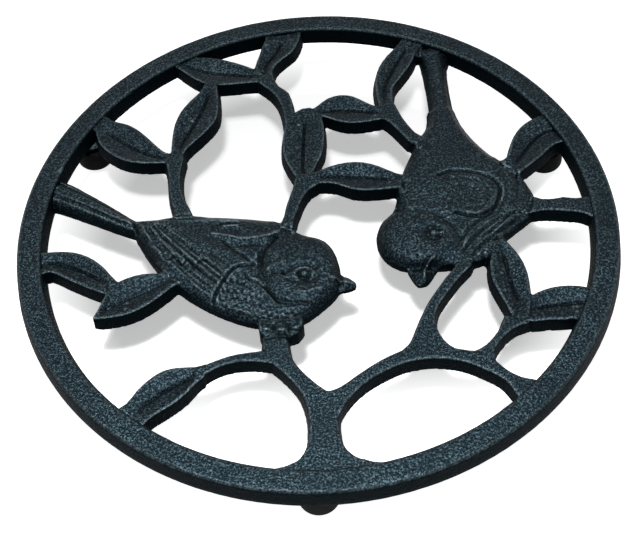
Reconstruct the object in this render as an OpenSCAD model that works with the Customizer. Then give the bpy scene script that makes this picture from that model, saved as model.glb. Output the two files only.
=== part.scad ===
/* [Rim] */
// Outer radius of the rim's top face
rim_radius = 100; // [80:1:130]
// Width of the rim's top face
rim_width = 8.2; // [6:0.1:10.5]
// Depth of the rim, top face to underside
rim_depth = 6.3; // [5:0.1:9]
// Taper of the rim's walls: how far each stands out at the underside
rim_draft = 0.9; // [0.2:0.1:1.4]
// Rounding of the rim's top edges
rim_edge = 0.9; // [0.4:0.1:1.4]

/* [Lattice] */
// How far the boughs and leaves lie below the rim's top face
lattice_drop = 0.9; // [0.3:0.1:1.4]
// Taper of the lattice walls
lattice_draft = 0.8; // [0.2:0.1:1.2]
// Rounding of the lattice's top edges
lattice_edge = 0.7; // [0.3:0.1:1.1]
// Depth of a leaf's dish at its middle
leaf_dish = 1.9; // [0.5:0.1:2.4]
// Extra depth of the midrib's groove
rib_depth = 0.8; // [0.2:0.1:1.2]
// Width of the midrib's groove
rib_width = 1.6; // [0.8:0.1:2.4]
// Share of a leaf's length where its dish has closed again
leaf_close = 0.9; // [0.85:0.01:1]

/* [Birds] */
// Height of a bird's dome above its own wall
bird_rise = 1.9; // [1:0.1:2]
// How far a bird's wall stops below the lattice's top
bird_shoulder = 1.9; // [1.5:0.1:2.4]
// Height of the head and wing above the dome
relief_step = 0.5; // [0.2:0.1:0.8]
// Height of the feather ridges
feather_ridge = 0.35; // [0.2:0.05:0.6]
// Depth of a beak below its ridge
beak_depth = 3.6; // [2:0.1:4.2]
// Height of the toes above the lattice's top
toe_rise = 0.6; // [0.2:0.1:0.9]
// Radius of an eye
eye_radius = 1.7; // [1:0.1:2.2]
// Height of an eye above the head
eye_rise = 0.4; // [0.2:0.1:0.8]

/* [Feet] */
// Height of the rim's top face above the table
stand_height = 17; // [14:0.5:24]
// Radius of the cast peg inside each rubber cap
peg_radius = 4.6; // [3:0.1:5.2]
// How far the front and left pegs stand inside the middle of the rim
peg_step = 2.9; // [1.5:0.1:4.5]
// How far the right peg stands inside the middle of the rim
right_peg_step = 6.8; // [4.5:0.1:7.8]
// Bare height of a peg above its cap
peg_bare = 2; // [0.8:0.1:3]
// Greatest radius of a rubber cap
cap_radius = 6.6; // [5.8:0.1:8]
// Thickness of a cap's floor
cap_floor = 2.6; // [1.5:0.1:3.2]
// Rounding of a cap's lower edge
cap_round = 2.4; // [1:0.1:3]
// Draft of a cap's side
cap_taper = 0.5; // [0.1:0.1:0.9]

/* [Hidden] */
$fn = 96;

iron = [0.19, 0.25, 0.29];
iron_leaf = [0.22, 0.29, 0.33];
iron_bird = [0.25, 0.32, 0.36];
rubber = [0.06, 0.06, 0.07];

// Levels, all from the table up
under_z = stand_height - rim_depth;
lattice_z = stand_height - lattice_drop;
wall_z = lattice_z - bird_shoulder;
dome_z = wall_z + bird_rise;
// Overrun of every cutting form past what it cuts
overrun = 2;
// Curve steps between two outline rows
spans = 2;
// Steps across a bird and across a tail
bird_steps = 22;
tail_steps = 16;

// Angles of the three feet, seen from above
front_angle = -93;
right_angle = 21.5;
left_angle = 148;

// Every row below is one crossing of a form: its left edge and its right edge, seen
// along the way that the form grows, as shares of the rim's radius.
main_stem_shares = [
    [-0.240, -0.948, 0.210, -0.948],
    [-0.152, -0.906, 0.122, -0.907],
    [-0.098, -0.876, 0.064, -0.878],
    [-0.071, -0.826, 0.031, -0.830],
    [-0.064, -0.765, 0.024, -0.765],
    [-0.066, -0.715, 0.026, -0.718],
    [-0.080, -0.662, 0.014, -0.672],
    [-0.099, -0.627, -0.028, -0.630],
    [-0.122, -0.595, -0.062, -0.592],
    [-0.148, -0.564, -0.092, -0.550],
    [-0.176, -0.532, -0.107, -0.516],
    [-0.191, -0.500, -0.112, -0.488],
    [-0.194, -0.470, -0.115, -0.464],
    [-0.188, -0.425, -0.121, -0.425]];
left_bough_shares = [
    [-0.125, -0.555, -0.145, -0.500],
    [-0.178, -0.541, -0.190, -0.492],
    [-0.222, -0.532, -0.225, -0.494],
    [-0.267, -0.530, -0.267, -0.497],
    [-0.312, -0.537, -0.303, -0.504],
    [-0.352, -0.554, -0.340, -0.516],
    [-0.385, -0.575, -0.378, -0.530],
    [-0.408, -0.594, -0.408, -0.537]];
right_bough_shares = [
    [-0.046, -0.648, 0.008, -0.800],
    [0.006, -0.652, 0.026, -0.748],
    [0.046, -0.636, 0.054, -0.698],
    [0.082, -0.611, 0.098, -0.651],
    [0.122, -0.584, 0.140, -0.621],
    [0.166, -0.558, 0.186, -0.597],
    [0.215, -0.535, 0.237, -0.577],
    [0.272, -0.516, 0.290, -0.568],
    [0.330, -0.512, 0.340, -0.568],
    [0.385, -0.528, 0.390, -0.577],
    [0.440, -0.543, 0.437, -0.594],
    [0.492, -0.558, 0.484, -0.622],
    [0.541, -0.614, 0.524, -0.650],
    [0.590, -0.652, 0.552, -0.688],
    [0.668, -0.672, 0.575, -0.748]];
fork_twig_shares = [
    [0.200, -0.556, 0.440, -0.562],
    [0.256, -0.510, 0.387, -0.521],
    [0.278, -0.472, 0.361, -0.478],
    [0.297, -0.430, 0.352, -0.430],
    [0.318, -0.388, 0.361, -0.388],
    [0.342, -0.346, 0.384, -0.350],
    [0.371, -0.306, 0.414, -0.310],
    [0.402, -0.264, 0.450, -0.266],
    [0.436, -0.224, 0.494, -0.222],
    [0.470, -0.170, 0.545, -0.165]];
lower_leaf_twig_shares = [
    [0.440, -0.556, 0.528, -0.625],
    [0.482, -0.537, 0.518, -0.566],
    [0.508, -0.518, 0.530, -0.537],
    [0.531, -0.493, 0.558, -0.504],
    [0.553, -0.462, 0.595, -0.476],
    [0.570, -0.424, 0.640, -0.461]];
rim_twig_shares = [
    [0.690, 0.075, 0.640, -0.065],
    [0.736, 0.049, 0.706, -0.033],
    [0.765, 0.033, 0.751, -0.020],
    [0.800, 0.030, 0.801, -0.024],
    [0.835, 0.035, 0.844, -0.032],
    [0.873, 0.026, 0.886, -0.042],
    [0.922, 0.030, 0.922, -0.068],
    [0.970, 0.045, 0.965, -0.095]];
back_twig_shares = [
    [-0.470, 0.025, -0.400, 0.025],
    [-0.481, 0.102, -0.425, 0.102],
    [-0.493, 0.157, -0.448, 0.157],
    [-0.498, 0.218, -0.457, 0.218],
    [-0.502, 0.274, -0.455, 0.274],
    [-0.512, 0.320, -0.446, 0.320],
    [-0.506, 0.346, -0.446, 0.340]];
nape_twig_shares = [
    [-0.125, -0.050, -0.060, -0.055],
    [-0.109, 0.022, -0.072, 0.013],
    [-0.100, 0.068, -0.058, 0.058],
    [-0.087, 0.113, -0.042, 0.102],
    [-0.073, 0.153, -0.016, 0.142],
    [-0.065, 0.188, 0.020, 0.168],
    [-0.055, 0.218, 0.030, 0.205]];
crown_twig_shares = [
    [-0.083, 0.420, -0.025, 0.435],
    [-0.089, 0.494, -0.052, 0.497],
    [-0.098, 0.549, -0.055, 0.552],
    [-0.115, 0.596, -0.065, 0.609],
    [-0.143, 0.635, -0.099, 0.645],
    [-0.170, 0.664, -0.114, 0.682],
    [-0.183, 0.690, -0.120, 0.714]];
shoulder_twig_shares = [
    [0.305, 0.538, 0.248, 0.498],
    [0.316, 0.504, 0.255, 0.457],
    [0.328, 0.464, 0.283, 0.427],
    [0.346, 0.419, 0.308, 0.389],
    [0.368, 0.378, 0.332, 0.349],
    [0.398, 0.335, 0.358, 0.308],
    [0.430, 0.300, 0.395, 0.265]];

leaf_low_left_shares = [
    [-0.375, -0.575, -0.375, -0.527],
    [-0.398, -0.593, -0.403, -0.534],
    [-0.431, -0.631, -0.455, -0.532],
    [-0.469, -0.662, -0.506, -0.541],
    [-0.511, -0.689, -0.549, -0.570],
    [-0.545, -0.712, -0.584, -0.606],
    [-0.568, -0.742, -0.615, -0.648],
    [-0.600, -0.800, -0.672, -0.680]];
leaf_rim_left_shares = [
    [-0.968, -0.028, -0.958, -0.190],
    [-0.906, -0.046, -0.899, -0.134],
    [-0.857, -0.046, -0.866, -0.139],
    [-0.805, -0.055, -0.826, -0.165],
    [-0.757, -0.078, -0.782, -0.191],
    [-0.712, -0.117, -0.742, -0.214],
    [-0.680, -0.160, -0.707, -0.231],
    [-0.640, -0.210, -0.660, -0.255]];
leaf_breast_shares = [
    [-0.430, -0.196, -0.465, -0.145],
    [-0.482, -0.230, -0.522, -0.163],
    [-0.532, -0.272, -0.577, -0.163],
    [-0.584, -0.306, -0.627, -0.175],
    [-0.637, -0.325, -0.668, -0.198],
    [-0.685, -0.331, -0.699, -0.245],
    [-0.719, -0.331, -0.720, -0.298],
    [-0.732, -0.330, -0.731, -0.322]];
leaf_high_left_shares = [
    [-0.480, 0.306, -0.480, 0.350],
    [-0.517, 0.310, -0.513, 0.362],
    [-0.572, 0.313, -0.545, 0.398],
    [-0.627, 0.323, -0.577, 0.440],
    [-0.677, 0.347, -0.613, 0.480],
    [-0.722, 0.387, -0.650, 0.508],
    [-0.752, 0.431, -0.688, 0.524],
    [-0.765, 0.484, -0.722, 0.548],
    [-0.800, 0.545, -0.745, 0.605]];
leaf_upright_shares = [
    [-0.496, 0.320, -0.458, 0.318],
    [-0.491, 0.374, -0.438, 0.364],
    [-0.488, 0.434, -0.397, 0.411],
    [-0.480, 0.494, -0.357, 0.457],
    [-0.460, 0.551, -0.328, 0.509],
    [-0.426, 0.602, -0.321, 0.569],
    [-0.392, 0.641, -0.323, 0.629],
    [-0.372, 0.684, -0.328, 0.684],
    [-0.366, 0.720, -0.332, 0.720]];
leaf_crown_left_shares = [
    [-0.142, 0.666, -0.134, 0.690],
    [-0.186, 0.671, -0.190, 0.743],
    [-0.246, 0.670, -0.239, 0.773],
    [-0.306, 0.669, -0.291, 0.799],
    [-0.361, 0.679, -0.346, 0.817],
    [-0.409, 0.709, -0.396, 0.826],
    [-0.454, 0.754, -0.441, 0.834],
    [-0.520, 0.815, -0.490, 0.860]];
leaf_crown_right_shares = [
    [-0.160, 0.676, -0.126, 0.672],
    [-0.188, 0.714, -0.125, 0.697],
    [-0.184, 0.759, -0.114, 0.742],
    [-0.171, 0.804, -0.081, 0.781],
    [-0.159, 0.849, -0.043, 0.817],
    [-0.144, 0.892, -0.019, 0.864],
    [-0.126, 0.938, -0.004, 0.918],
    [-0.110, 0.975, 0.010, 0.970]];
leaf_centre_shares = [
    [-0.045, 0.165, 0.000, 0.168],
    [-0.063, 0.209, 0.002, 0.213],
    [-0.084, 0.258, 0.019, 0.258],
    [-0.098, 0.309, 0.040, 0.306],
    [-0.099, 0.364, 0.049, 0.359],
    [-0.092, 0.419, 0.052, 0.414],
    [-0.079, 0.469, 0.049, 0.464],
    [-0.049, 0.507, 0.030, 0.506],
    [-0.020, 0.525, 0.010, 0.526]];
leaf_bridge_shares = [
    [-0.005, 0.505, 0.010, 0.480],
    [0.032, 0.532, 0.053, 0.476],
    [0.072, 0.566, 0.093, 0.454],
    [0.118, 0.579, 0.137, 0.438],
    [0.163, 0.569, 0.183, 0.435],
    [0.203, 0.539, 0.228, 0.440],
    [0.243, 0.512, 0.266, 0.446],
    [0.280, 0.508, 0.286, 0.458]];
leaf_top_right_shares = [
    [0.258, 0.478, 0.304, 0.480],
    [0.252, 0.529, 0.307, 0.539],
    [0.248, 0.589, 0.313, 0.594],
    [0.252, 0.649, 0.343, 0.640],
    [0.271, 0.708, 0.374, 0.685],
    [0.303, 0.760, 0.398, 0.728],
    [0.346, 0.811, 0.421, 0.780],
    [0.400, 0.885, 0.480, 0.850]];
leaf_middle_shares = [
    [-0.030, 0.205, -0.020, 0.160],
    [0.015, 0.224, 0.026, 0.168],
    [0.065, 0.244, 0.079, 0.158],
    [0.120, 0.255, 0.129, 0.131],
    [0.175, 0.251, 0.179, 0.121],
    [0.226, 0.230, 0.229, 0.120],
    [0.271, 0.200, 0.274, 0.122],
    [0.320, 0.180, 0.320, 0.124]];
leaf_rim_right_shares = [
    [0.635, 0.205, 0.685, 0.122],
    [0.674, 0.232, 0.718, 0.158],
    [0.690, 0.275, 0.755, 0.188],
    [0.708, 0.318, 0.794, 0.221],
    [0.738, 0.358, 0.830, 0.256],
    [0.778, 0.390, 0.868, 0.276],
    [0.828, 0.411, 0.915, 0.272],
    [0.892, 0.425, 0.955, 0.255]];
leaf_hanging_shares = [
    [0.592, -0.435, 0.645, -0.440],
    [0.580, -0.388, 0.663, -0.370],
    [0.563, -0.338, 0.667, -0.323],
    [0.550, -0.288, 0.668, -0.273],
    [0.549, -0.238, 0.660, -0.223],
    [0.559, -0.188, 0.643, -0.178],
    [0.576, -0.147, 0.622, -0.138],
    [0.588, -0.100, 0.612, -0.095]];
leaf_low_right_shares = [
    [0.615, -0.395, 0.617, -0.448],
    [0.663, -0.358, 0.656, -0.458],
    [0.711, -0.337, 0.706, -0.456],
    [0.761, -0.328, 0.756, -0.459],
    [0.811, -0.331, 0.797, -0.455],
    [0.856, -0.343, 0.837, -0.444],
    [0.910, -0.360, 0.875, -0.440]];

perched_bird_shares = [
    [-0.617, 0.073, -0.610, 0.012],
    [-0.571, 0.075, -0.584, -0.041],
    [-0.521, 0.076, -0.551, -0.098],
    [-0.466, 0.077, -0.513, -0.158],
    [-0.411, 0.077, -0.469, -0.211],
    [-0.356, 0.072, -0.417, -0.257],
    [-0.301, 0.065, -0.363, -0.298],
    [-0.246, 0.056, -0.306, -0.333],
    [-0.190, 0.045, -0.245, -0.362],
    [-0.135, 0.030, -0.183, -0.380],
    [-0.090, -0.004, -0.122, -0.384],
    [-0.052, -0.035, -0.068, -0.374],
    [-0.010, -0.045, -0.024, -0.346],
    [0.024, -0.065, 0.011, -0.317],
    [0.048, -0.101, 0.039, -0.291],
    [0.061, -0.143, 0.058, -0.265],
    [0.068, -0.188, 0.068, -0.237]];
perched_beak_shares = [
    [0.036, -0.190, 0.030, -0.280],
    [0.072, -0.208, 0.065, -0.271],
    [0.098, -0.231, 0.095, -0.262],
    [0.113, -0.247, 0.112, -0.256]];
perched_tail_shares = [
    [-0.570, 0.005, -0.575, 0.065],
    [-0.616, 0.024, -0.612, 0.079],
    [-0.672, 0.052, -0.661, 0.119],
    [-0.732, 0.084, -0.721, 0.169],
    [-0.792, 0.116, -0.781, 0.216],
    [-0.852, 0.147, -0.836, 0.257],
    [-0.907, 0.173, -0.887, 0.288],
    [-0.965, 0.200, -0.925, 0.310]];
perched_toes_shares = [
    [-0.205, -0.388, -0.203, -0.424],
    [-0.190, -0.365, -0.188, -0.444],
    [-0.130, -0.365, -0.129, -0.448],
    [-0.084, -0.365, -0.081, -0.438],
    [-0.064, -0.378, -0.061, -0.408]];
hanging_bird_shares = [
    [0.520, 0.488, 0.431, 0.488],
    [0.534, 0.419, 0.420, 0.419],
    [0.567, 0.344, 0.387, 0.359],
    [0.612, 0.274, 0.355, 0.299],
    [0.657, 0.219, 0.328, 0.243],
    [0.697, 0.168, 0.305, 0.188],
    [0.725, 0.118, 0.291, 0.138],
    [0.740, 0.068, 0.283, 0.088],
    [0.737, 0.018, 0.263, 0.038],
    [0.716, -0.028, 0.227, 0.004],
    [0.671, -0.061, 0.207, -0.038],
    [0.626, -0.098, 0.203, -0.083],
    [0.589, -0.138, 0.212, -0.126],
    [0.554, -0.178, 0.234, -0.163],
    [0.516, -0.203, 0.270, -0.192],
    [0.460, -0.209, 0.315, -0.206]];
hanging_beak_shares = [
    [0.402, -0.176, 0.285, -0.184],
    [0.388, -0.205, 0.290, -0.214],
    [0.364, -0.238, 0.302, -0.246],
    [0.340, -0.268, 0.318, -0.273]];
hanging_tail_shares = [
    [0.425, 0.370, 0.540, 0.370],
    [0.432, 0.429, 0.524, 0.429],
    [0.440, 0.498, 0.516, 0.494],
    [0.441, 0.569, 0.513, 0.569],
    [0.439, 0.645, 0.513, 0.645],
    [0.435, 0.715, 0.517, 0.708],
    [0.427, 0.795, 0.537, 0.766],
    [0.425, 0.870, 0.580, 0.805]];

// Where the perched bird's head and wing lie, and how softly they rise
perched_head_share = [-0.040, -0.190];
perched_head_radius_share = 0.155;
perched_wing_tip_share = [-0.205, -0.155];
perched_wing_fore_share = [-0.345, -0.280];
perched_wing_back_share = [-0.420, 0.010];
perched_eye_share = [-0.050, -0.212];
// Where the hanging bird's head and wing lie
hanging_head_share = [0.325, -0.085];
hanging_head_radius_share = 0.135;
hanging_wing_share = [0.515, 0.075];
hanging_wing_radius_share = 0.110;
hanging_eye_share = [0.380, -0.083];
soft_share = 0.022;
// Feather rows over the wing, and over a tail
wing_feathers = 5;
tail_feathers = 4;

function held(rows, i) = rows[max(0, min(len(rows) - 1, i))];

// A smooth curve through the rows
function curve(rows, i, t) =
    let (a = held(rows, i - 1), b = held(rows, i), c = held(rows, i + 1), d = held(rows, i + 2))
    (2 * b + (c - a) * t + (2 * a - 5 * b + 4 * c - d) * t * t + (3 * b - a - 3 * c + d) * t * t * t) / 2;

function crossings(rows) = [
    for (i = [0:len(rows) - 2]) for (k = [0:spans - 1]) rim_radius * curve(rows, i, k / spans),
    rim_radius * rows[len(rows) - 1]];

function breadth(s) = norm([s[2] - s[0], s[3] - s[1]]);

// A point of a crossing: its distance from the left edge, and its level
function on(s, d, z) =
    let (w = breadth(s))
    [s[0] + (s[2] - s[0]) * d / w, s[1] + (s[3] - s[1]) * d / w, z];

function ramp(x) = let (c = max(0, min(1, x))) c * c * (3 - 2 * c);

// The rounding of a form's edge, kept within its own width
function rounding(s) = min(lattice_edge, breadth(s) / 4);

// Flat-topped bough: tapered walls and rounded edges
function bough_ring(s) =
    let (w = breadth(s), e = rounding(s), z = lattice_z)
    [on(s, -lattice_draft, under_z), on(s, 0, z - e), on(s, e * 0.3, z - e * 0.3), on(s, e, z),
     on(s, w - e, z), on(s, w - e * 0.3, z - e * 0.3), on(s, w, z - e),
     on(s, w + lattice_draft, under_z)];

// Leaf: both halves slope down from a raised lip to the midrib's groove
function leaf_ring(s, u) =
    let (w = breadth(s), e = rounding(s), z = lattice_z, m = w / 2,
         fade = pow(sin(180 * min(1, u / leaf_close)), 0.7), g = min(rib_width, w / 3) / 2,
         dip = min(leaf_dish, w / 5.5) * fade)
    [on(s, -lattice_draft, under_z), on(s, 0, z - e), on(s, e * 0.4, z - e * 0.2), on(s, e * 1.3, z),
     on(s, m - g, z - dip), on(s, m, z - dip - rib_depth * fade), on(s, m + g, z - dip),
     on(s, w - e * 1.3, z), on(s, w - e * 0.4, z - e * 0.2), on(s, w, z - e),
     on(s, w + lattice_draft, under_z)];

// A form's outline at full height, its walls carried on past both faces, to cut what runs into it
function bite_ring(s, e) =
    let (w = breadth(s), wall = lattice_z - e - under_z, low = under_z - overrun, high = stand_height + overrun,
         out = lattice_draft * (1 + overrun / wall), in = lattice_draft * (high - lattice_z + e) / wall)
    [on(s, -out, low), on(s, in, high), on(s, w - in, high), on(s, w + out, low)];

module loft(rings) {
    n = len(rings[0]);
    m = len(rings);
    polyhedron(
        points = [for (ring = rings) for (p = ring) p],
        faces = concat(
            [[for (k = [0:n - 1]) k]],
            [[for (k = [n - 1:-1:0]) (m - 1) * n + k]],
            [for (j = [0:m - 2]) for (k = [0:n - 1])
                let (a = j * n + k, b = j * n + (k + 1) % n)
                each [[a, a + n, b + n], [a, b + n, b]]]));
}

module bough(rows) {
    loft([for (s = crossings(rows)) bough_ring(s)]);
}

module leaf(rows) {
    all = crossings(rows);
    loft([for (i = [0:len(all) - 1]) leaf_ring(all[i], i / (len(all) - 1))]);
}

// The stretch of a form's outline from one of its rows to another
function stretch(rows, first, last) =
    let (all = crossings(rows)) [for (i = [first * spans:last * spans]) all[i]];

module bite(rows, first, last) {
    loft([for (s = stretch(rows, first, last)) bite_ring(s, rounding(s))]);
}

module bird_bite(rows, first, last) {
    loft([for (s = stretch(rows, first, last)) bite_ring(s, bird_shoulder)]);
}

// Closer steps at the two edges than in the middle
function spread(k, n) = k / n - 0.6 * sin(360 * k / n) / (2 * PI);

function dome(v) = pow(max(0, 1 - pow(abs(2 * v - 1), 2.6)), 0.5);

function over_perched(p, v) =
    let (head = ramp((perched_head_radius_share - norm(p - perched_head_share)) / soft_share),
         tip = perched_wing_tip_share,
         fore = perched_wing_fore_share - tip,
         back = perched_wing_back_share - tip,
         front = cross(fore, p - tip) / norm(fore),
         upper = cross(p - tip, back) / norm(back),
         wing = ramp(-front / soft_share) * ramp(-upper / soft_share) * (1 - head))
    relief_step * max(head, wing) + feather_ridge * wing * (0.5 + 0.5 * cos(360 * wing_feathers * v));

function over_hanging(p, v) =
    let (head = ramp((hanging_head_radius_share - norm(p - hanging_head_share)) / soft_share),
         wing = ramp((hanging_wing_radius_share - norm(p - hanging_wing_share)) / soft_share))
    relief_step * max(head, wing);

// Bird body: a low dome from wall to wall, with its head and wing raised on it
function bird_ring(s, u, perched) =
    let (w = breadth(s), close = pow(min(1, (1 - u) * 9), 0.5))
    concat(
        [on(s, -lattice_draft, under_z)],
        [for (k = [0:bird_steps])
            let (v = spread(k, bird_steps), q = on(s, w * v, 0) / rim_radius, p = [q[0], q[1]],
                 d = dome(v) * close,
                 up = perched ? over_perched(p, v) : over_hanging(p, v))
            on(s, w * v, wall_z + bird_rise * d + up * min(1, d * 1.5))],
        [on(s, w + lattice_draft, under_z)]);

module bird(rows, perched) {
    all = crossings(rows);
    loft([for (i = [0:len(all) - 1]) bird_ring(all[i], i / (len(all) - 1), perched)]);
}

// Tail: a low dome with long feathers side by side
function tail_ring(s) =
    let (w = breadth(s))
    concat(
        [on(s, -lattice_draft, under_z)],
        [for (k = [0:tail_steps])
            let (v = k / tail_steps)
            on(s, w * v, wall_z + bird_rise * dome(v) * 0.7
                + feather_ridge * abs(sin(180 * tail_feathers * v)))],
        [on(s, w + lattice_draft, under_z)]);

module tail(rows) {
    loft([for (s = crossings(rows)) tail_ring(s)]);
}

// Toes: three rounded lumps side by side over the bough
function toe_ring(s, u) =
    let (w = breadth(s), e = rounding(s), z = lattice_z, up = toe_rise * abs(sin(540 * u)))
    [on(s, -lattice_draft, under_z), on(s, 0, z - e), on(s, e, z), on(s, w * 0.5, z + up),
     on(s, w * 0.75, z + up), on(s, w - e, z - e * 0.3 + up * 0.5), on(s, w, z - e),
     on(s, w + lattice_draft, under_z)];

module toes(rows) {
    all = crossings(rows);
    loft([for (i = [0:len(all) - 1]) toe_ring(all[i], i / (len(all) - 1))]);
}

// Beak: a ridge with two sloping sides
function beak_ring(s) =
    let (w = breadth(s), ridge = wall_z + bird_rise * 0.5, out = lattice_draft / 2)
    [on(s, -out, ridge - beak_depth), on(s, 0, ridge - beak_depth * 0.4), on(s, w * 0.35, ridge),
     on(s, w, ridge - beak_depth * 0.4), on(s, w + out, ridge - beak_depth)];

module beak(rows) {
    loft([for (s = crossings(rows)) beak_ring(s)]);
}

module eye(share) {
    translate([share[0] * rim_radius, share[1] * rim_radius, dome_z + relief_step + eye_rise - eye_radius])
        sphere(r = eye_radius, $fn = 24);
}

// The rim's inner wall and everything outside it
module rim_bite() {
    inner = rim_radius - rim_width;
    k = rim_draft / (rim_depth - rim_edge);
    rotate_extrude($fn = 180)
        polygon([
            [inner - rim_draft - overrun * k, under_z - overrun],
            [rim_radius + rim_width, under_z - overrun],
            [rim_radius + rim_width, stand_height + overrun],
            [inner, stand_height + overrun],
            [inner, stand_height - rim_edge]]);
}

module rim() {
    inner = rim_radius - rim_width;
    e = rim_edge;
    color(iron)
        rotate_extrude($fn = 180)
            polygon([
                [inner - rim_draft, under_z],
                [rim_radius + rim_draft, under_z],
                [rim_radius, stand_height - e],
                [rim_radius - e * 0.12, stand_height - e * 0.5],
                [rim_radius - e * 0.5, stand_height - e * 0.12],
                [rim_radius - e, stand_height],
                [inner + e, stand_height],
                [inner + e * 0.5, stand_height - e * 0.12],
                [inner + e * 0.12, stand_height - e * 0.5],
                [inner, stand_height - e]]);
}

module main_stem() {
    color(iron) difference() {
        bough(main_stem_shares);
        rim_bite();
        bite(perched_toes_shares, 0, 4);
    }
}

module left_bough() {
    color(iron) difference() {
        bough(left_bough_shares);
        bite(main_stem_shares, 8, 12);
    }
}

module right_bough() {
    color(iron) difference() {
        bough(right_bough_shares);
        bite(main_stem_shares, 3, 8);
        rim_bite();
    }
}

module fork_twig() {
    color(iron) difference() {
        bough(fork_twig_shares);
        bite(right_bough_shares, 5, 11);
        bird_bite(hanging_bird_shares, 11, 15);
    }
}

module lower_leaf_twig() {
    color(iron) difference() {
        bough(lower_leaf_twig_shares);
        bite(right_bough_shares, 9, 13);
    }
}

module rim_twig() {
    color(iron) difference() {
        bough(rim_twig_shares);
        bird_bite(hanging_bird_shares, 6, 11);
        rim_bite();
    }
}

module back_twig() {
    color(iron) difference() {
        bough(back_twig_shares);
        bird_bite(perched_bird_shares, 2, 5);
    }
}

module nape_twig() {
    color(iron) difference() {
        bough(nape_twig_shares);
        bird_bite(perched_bird_shares, 8, 12);
    }
}

module crown_twig() {
    color(iron) difference() {
        bough(crown_twig_shares);
        bite(leaf_centre_shares, 4, 8);
    }
}

module shoulder_twig() {
    color(iron) difference() {
        bough(shoulder_twig_shares);
        bird_bite(hanging_bird_shares, 1, 5);
    }
}

module leaf_low_left() {
    color(iron_leaf) difference() {
        leaf(leaf_low_left_shares);
        bite(left_bough_shares, 4, 7);
        rim_bite();
    }
}

module leaf_rim_left() {
    color(iron_leaf) difference() {
        leaf(leaf_rim_left_shares);
        bite(leaf_breast_shares, 2, 7);
        rim_bite();
    }
}

module leaf_breast() {
    color(iron_leaf) difference() {
        leaf(leaf_breast_shares);
        bird_bite(perched_bird_shares, 1, 6);
    }
}

module leaf_high_left() {
    color(iron_leaf) difference() {
        leaf(leaf_high_left_shares);
        bite(back_twig_shares, 3, 6);
        rim_bite();
    }
}

module leaf_upright() {
    color(iron_leaf) difference() {
        leaf(leaf_upright_shares);
        bite(back_twig_shares, 3, 6);
        bite(leaf_high_left_shares, 0, 3);
        bite(leaf_crown_left_shares, 2, 6);
    }
}

module leaf_crown_left() {
    color(iron_leaf) difference() {
        leaf(leaf_crown_left_shares);
        bite(crown_twig_shares, 3, 6);
        rim_bite();
    }
}

module leaf_crown_right() {
    color(iron_leaf) difference() {
        leaf(leaf_crown_right_shares);
        bite(crown_twig_shares, 3, 6);
        bite(leaf_crown_left_shares, 0, 3);
        rim_bite();
    }
}

module leaf_centre() {
    color(iron_leaf) difference() {
        leaf(leaf_centre_shares);
        bite(nape_twig_shares, 3, 6);
    }
}

module leaf_bridge() {
    color(iron_leaf) difference() {
        leaf(leaf_bridge_shares);
        bite(leaf_centre_shares, 4, 8);
        bite(shoulder_twig_shares, 0, 3);
    }
}

module leaf_top_right() {
    color(iron_leaf) difference() {
        leaf(leaf_top_right_shares);
        bite(shoulder_twig_shares, 0, 3);
        bite(leaf_bridge_shares, 5, 7);
        rim_bite();
    }
}

module leaf_middle() {
    color(iron_leaf) difference() {
        leaf(leaf_middle_shares);
        bite(nape_twig_shares, 3, 6);
        bite(leaf_centre_shares, 0, 3);
        bird_bite(hanging_bird_shares, 4, 8);
    }
}

module leaf_rim_right() {
    color(iron_leaf) difference() {
        leaf(leaf_rim_right_shares);
        bird_bite(hanging_bird_shares, 3, 7);
        rim_bite();
    }
}

module leaf_hanging() {
    color(iron_leaf) difference() {
        leaf(leaf_hanging_shares);
        bite(lower_leaf_twig_shares, 3, 5);
        bird_bite(hanging_bird_shares, 9, 14);
    }
}

module leaf_low_right() {
    color(iron_leaf) difference() {
        leaf(leaf_low_right_shares);
        bite(lower_leaf_twig_shares, 3, 5);
        bite(leaf_hanging_shares, 0, 3);
        rim_bite();
    }
}

module perched_bird() {
    color(iron_bird) {
        bird(perched_bird_shares, true);
        beak(perched_beak_shares);
        eye(perched_eye_share);
    }
}

module perched_tail() {
    color(iron_bird) difference() {
        tail(perched_tail_shares);
        bird_bite(perched_bird_shares, 0, 3);
        rim_bite();
    }
}

module perched_toes() {
    color(iron_bird) difference() {
        toes(perched_toes_shares);
        bird_bite(perched_bird_shares, 7, 13);
    }
}

module hanging_bird() {
    color(iron_bird) {
        bird(hanging_bird_shares, false);
        beak(hanging_beak_shares);
        eye(hanging_eye_share);
    }
}

module hanging_tail() {
    color(iron_bird) difference() {
        tail(hanging_tail_shares);
        bird_bite(hanging_bird_shares, 0, 4);
        bite(leaf_top_right_shares, 4, 7);
        rim_bite();
    }
}

module at_foot(angle, step) {
    rotate([0, 0, angle]) translate([rim_radius - rim_width / 2 - step, 0, 0]) children();
}

// Cast peg, from the cap's floor up to the underside of the casting
module peg() {
    translate([0, 0, cap_floor]) cylinder(r = peg_radius, h = under_z - cap_floor);
}

// Push-on rubber cap with a blind bore the size of its peg
module cap() {
    top = under_z - peg_bare;
    r = cap_round;
    rotate_extrude()
        polygon(concat(
            [[0, 0]],
            [for (a = [-90:15:0]) [cap_radius - r + r * cos(a), r + r * sin(a)]],
            [[cap_radius - cap_taper, top], [peg_radius, top], [peg_radius, cap_floor], [0, cap_floor]]));
}

module front_peg() {
    color(iron) at_foot(front_angle, peg_step) peg();
}

module right_peg() {
    color(iron) at_foot(right_angle, right_peg_step) peg();
}

module left_peg() {
    color(iron) at_foot(left_angle, peg_step) peg();
}

module front_cap() {
    color(rubber) at_foot(front_angle, peg_step) cap();
}

module right_cap() {
    color(rubber) at_foot(right_angle, right_peg_step) cap();
}

module left_cap() {
    color(rubber) at_foot(left_angle, peg_step) cap();
}

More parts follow.
